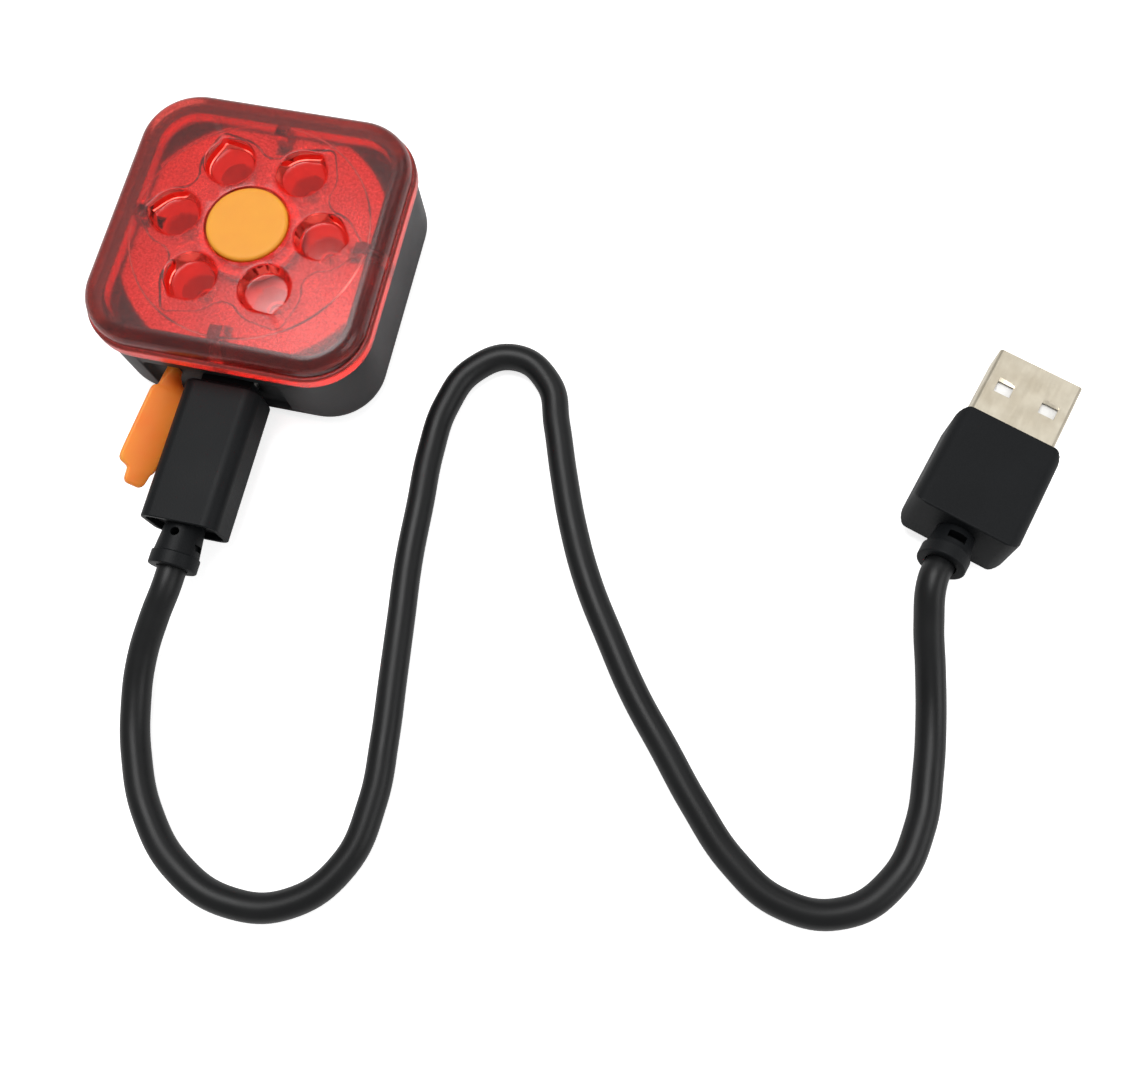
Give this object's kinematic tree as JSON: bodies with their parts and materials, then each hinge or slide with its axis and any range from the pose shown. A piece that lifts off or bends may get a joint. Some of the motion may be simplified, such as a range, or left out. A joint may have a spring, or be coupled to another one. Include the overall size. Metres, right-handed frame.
{
  "type": "bike rear light",
  "caption": "Square rechargeable bike rear light with a red lens, pointed light wells, a round push button, a rubber port flap and a plugged-in charging lead.",
  "frame": {"origin": "middle of the flat back face of the light, which lies on the table", "axes": "+Z out of the lens, -Y out of the charging recess, +X to the right seen from above with the recess nearest the viewer"},
  "size_m": [0.1346, 0.1068, 0.018],
  "materials": {
    "housing": "fine matt, dark grey",
    "lens": "clear red, finely grained face, polished wells and rim",
    "seal": "matt black rubber",
    "reflector": "smooth white moulding",
    "board": "white solder mask",
    "led_white": "white moulded package",
    "led_resin": "clear amber resin",
    "resistor": "black ceramic with tinned ends",
    "switch_base": "matt black",
    "switch_cover": "plain rolled steel",
    "plunger": "pale grey",
    "button": "satin orange silicone",
    "cell": "silver laminate pouch",
    "pad": "grey foam",
    "wire_red": "red insulation",
    "wire_black": "black insulation",
    "chip": "matt black moulding",
    "socket_steel": "plated steel",
    "contact_black": "black insulator",
    "contact_gold": "gold flash",
    "flap": "satin orange rubber",
    "overmould": "satin black overmould",
    "plug_steel": "plated steel",
    "tongue_white": "white insulator",
    "cable": "smooth satin black sheath"
  },
  "bodies": {
    "light": {"rear_housing": "housing", "lens_cover": "lens", "lens_seal": "seal", "reflector_plate": "reflector", "circuit_board": "board", "led_packages": "led_white", "led_resin": "led_resin", "led_resistors": "resistor", "switch_base": "switch_base", "switch_cover": "switch_cover", "battery_cell": "cell", "battery_pad": "pad", "battery_lead_red": "wire_red", "battery_lead_black": "wire_black", "charge_chip": "chip", "control_chip": "chip", "socket_shell": "socket_steel", "socket_tongue": "contact_black", "socket_contacts": "contact_gold", "flap_strap": "flap"},
    "button": {"button_cap": "button"},
    "plunger": {"switch_plunger": "plunger"},
    "flap": {"port_flap": "flap"},
    "charging_lead": {"small_plug_body": "overmould", "small_plug_shell": "plug_steel", "small_plug_insert": "contact_black", "small_plug_contacts": "contact_gold", "cable": "cable", "supply_plug_body": "overmould", "supply_plug_shell": "plug_steel", "supply_plug_tongue": "tongue_white", "supply_plug_contacts": "contact_gold"}
  },
  "joints": [
    {"name": "button_press", "type": "slide", "parent": "light", "child": "button", "axis": [0, 0, -1], "range_m": [0, 0.0005], "stiffness_N_per_m": 1200},
    {"name": "plunger_press", "type": "slide", "parent": "light", "child": "plunger", "axis": [0, 0, -1], "range_m": [0, 0.0005]},
    {"name": "flap_swing", "type": "hinge", "parent": "light", "child": "flap", "pos_m": [-0.0083, -0.0201, 0.0076], "axis": [0, 0, -1], "range_deg": [-4, 50]},
    {"name": "lead_slide", "type": "slide", "parent": "light", "child": "charging_lead", "axis": [0, -1, 0], "range_m": [0, 0.03]}
  ],
  "couplings": [
    {"joint": "plunger_press", "follows": "button_press", "ratio": 1}
  ]
}
